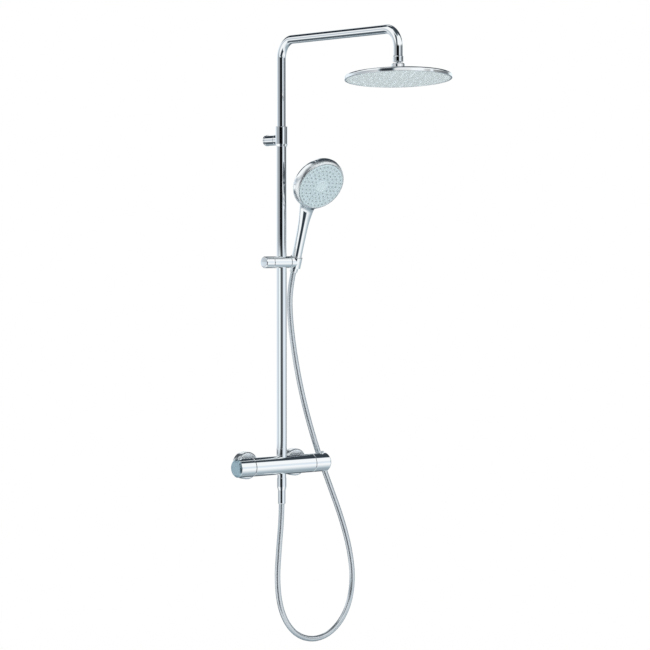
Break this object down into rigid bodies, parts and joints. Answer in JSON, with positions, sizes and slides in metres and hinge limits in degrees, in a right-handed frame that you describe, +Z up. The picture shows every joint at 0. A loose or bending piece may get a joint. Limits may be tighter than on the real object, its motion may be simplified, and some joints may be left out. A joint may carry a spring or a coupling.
{
  "type": "rainfall shower column",
  "caption": "Wall-fed shower column: thermostatic bar mixer, riser with overhead rain head on a bent swivel arm, sliding holder and hand shower on a hanging hose.",
  "frame": {"origin": "on the wall plane, midway between the two water inlets at the height of the mixer's axis", "axes": "+X to the right when facing the wall, +Y into the wall, +Z up"},
  "size_m": [0.4068, 0.6509, 1.5188],
  "materials": {
    "chrome": "polished",
    "chromed_plastic": "chrome plated",
    "spray_grey": "satin",
    "silicone": "matt",
    "hose_silver": "metallic gloss",
    "brass": "turned",
    "steel": "plain",
    "valve_plastic": "matt",
    "rubber": "matt"
  },
  "bodies": {
    "column": {"mixer_body": "chrome", "inlet_unions": "brass", "rosettes": "chrome", "coupling_nuts": "chrome", "strainer_washers": "rubber", "check_valves": "valve_plastic", "diverter_cartridge": "valve_plastic", "thermostat_cartridge": "valve_plastic", "cartridge_o_rings": "rubber", "cartridge_retainers": "brass", "temperature_stop_ring": "valve_plastic", "riser_nipple": "brass", "riser_o_rings": "rubber", "riser_nut": "chrome", "riser_tube": "chrome", "bracket_collar": "chrome", "collar_grub_screw": "steel", "arm_guide_bush": "valve_plastic", "bracket_stem": "chrome", "bracket_base": "chrome", "bracket_grub_screw": "steel", "hose_outlet": "chrome", "outlet_washer": "rubber", "hose_nut": "chrome", "shower_hose": "hose_silver"},
    "arm": {"shower_arm": "chrome", "arm_seal_carrier": "brass", "arm_o_rings": "rubber", "ball_nut": "chrome"},
    "ball_seat": {"ball_seat": "valve_plastic"},
    "rain_head": {"head_cap": "chrome", "head_shell": "chromed_plastic", "rain_face": "chromed_plastic", "rain_nozzles": "silicone"},
    "slider_sleeve": {"slider_sleeve": "valve_plastic"},
    "slider": {"slider_body": "chrome", "clamp_shoe": "valve_plastic"},
    "lock_knob": {"lock_knob": "chrome", "lock_stud": "steel"},
    "holder": {"holder_cup": "chrome", "holder_liner": "valve_plastic"},
    "handset": {"hose_cone_nut": "chrome", "handset_washer": "rubber", "handset_shell": "chromed_plastic", "spray_distributor": "valve_plastic"},
    "spray_face": {"spray_plate": "spray_grey", "spray_nozzles": "silicone", "spray_hub": "chromed_plastic"},
    "temperature_handle": {"temperature_handle": "chromed_plastic", "temperature_spindle": "brass", "temperature_handle_screw": "steel", "temperature_handle_cap": "chromed_plastic", "safety_spring": "steel"},
    "safety_button": {"safety_button": "chromed_plastic"},
    "flow_handle": {"flow_handle": "chromed_plastic", "flow_spindle": "brass", "flow_handle_screw": "steel", "flow_handle_cap": "chromed_plastic", "eco_spring": "steel"},
    "eco_button": {"eco_button": "chromed_plastic"}
  },
  "joints": [
    {"name": "arm_swivel", "type": "hinge", "parent": "column", "child": "arm", "pos_m": [0, -0.06, 0.8], "axis": [0, 0, 1], "range_deg": [-45, 45]},
    {"name": "head_tilt_front", "type": "hinge", "parent": "arm", "child": "ball_seat", "pos_m": [0, -0.51, 0.959], "axis": [1, 0, 0], "range_deg": [-5, 14]},
    {"name": "head_tilt_side", "type": "hinge", "parent": "ball_seat", "child": "rain_head", "pos_m": [0, -0.51, 0.959], "axis": [0, 1, 0], "range_deg": [-10, 6]},
    {"name": "slider_slide", "type": "slide", "parent": "column", "child": "slider_sleeve", "axis": [0, 0, 1], "range_m": [-0.09, 0.17], "deforming": ["shower_hose"]},
    {"name": "slider_swivel", "type": "hinge", "parent": "slider_sleeve", "child": "slider", "pos_m": [0, -0.06, 0.503], "axis": [0, 0, 1], "range_deg": [-40, 25], "deforming": ["shower_hose"]},
    {"name": "lock_knob_turn", "type": "hinge", "parent": "slider", "child": "lock_knob", "pos_m": [0, -0.064, 0.503], "axis": [1, 0, 0], "range_deg": [0, 180]},
    {"name": "holder_tilt", "type": "hinge", "parent": "slider", "child": "holder", "pos_m": [0, -0.064, 0.503], "axis": [1, 0, 0], "range_deg": [-10, 15], "deforming": ["shower_hose"]},
    {"name": "handset_lift", "type": "slide", "parent": "holder", "child": "handset", "axis": [0, -0.3256, 0.9455], "range_m": [0, 0.08], "deforming": ["shower_hose"]},
    {"name": "spray_select", "type": "hinge", "parent": "handset", "child": "spray_face", "pos_m": [0.03671, -0.17228, 0.68887], "axis": [-0.077, -0.8632, -0.499], "range_deg": [-60, 60]},
    {"name": "temperature_turn", "type": "hinge", "parent": "column", "child": "temperature_handle", "pos_m": [0.12, -0.06, 0], "axis": [1, 0, 0], "range_deg": [-110, 70]},
    {"name": "safety_press", "type": "slide", "parent": "temperature_handle", "child": "safety_button", "axis": [0, 0, -1], "range_m": [0, 0.0025], "stiffness_N_per_m": 800, "springref_m": -0.002, "deforming": ["safety_spring"]},
    {"name": "flow_turn", "type": "hinge", "parent": "column", "child": "flow_handle", "pos_m": [-0.12, -0.06, 0], "axis": [1, 0, 0], "range_deg": [-90, 90]},
    {"name": "eco_press", "type": "slide", "parent": "flow_handle", "child": "eco_button", "axis": [0, 0, -1], "range_m": [0, 0.0025], "stiffness_N_per_m": 800, "springref_m": -0.002, "deforming": ["eco_spring"]}
  ]
}
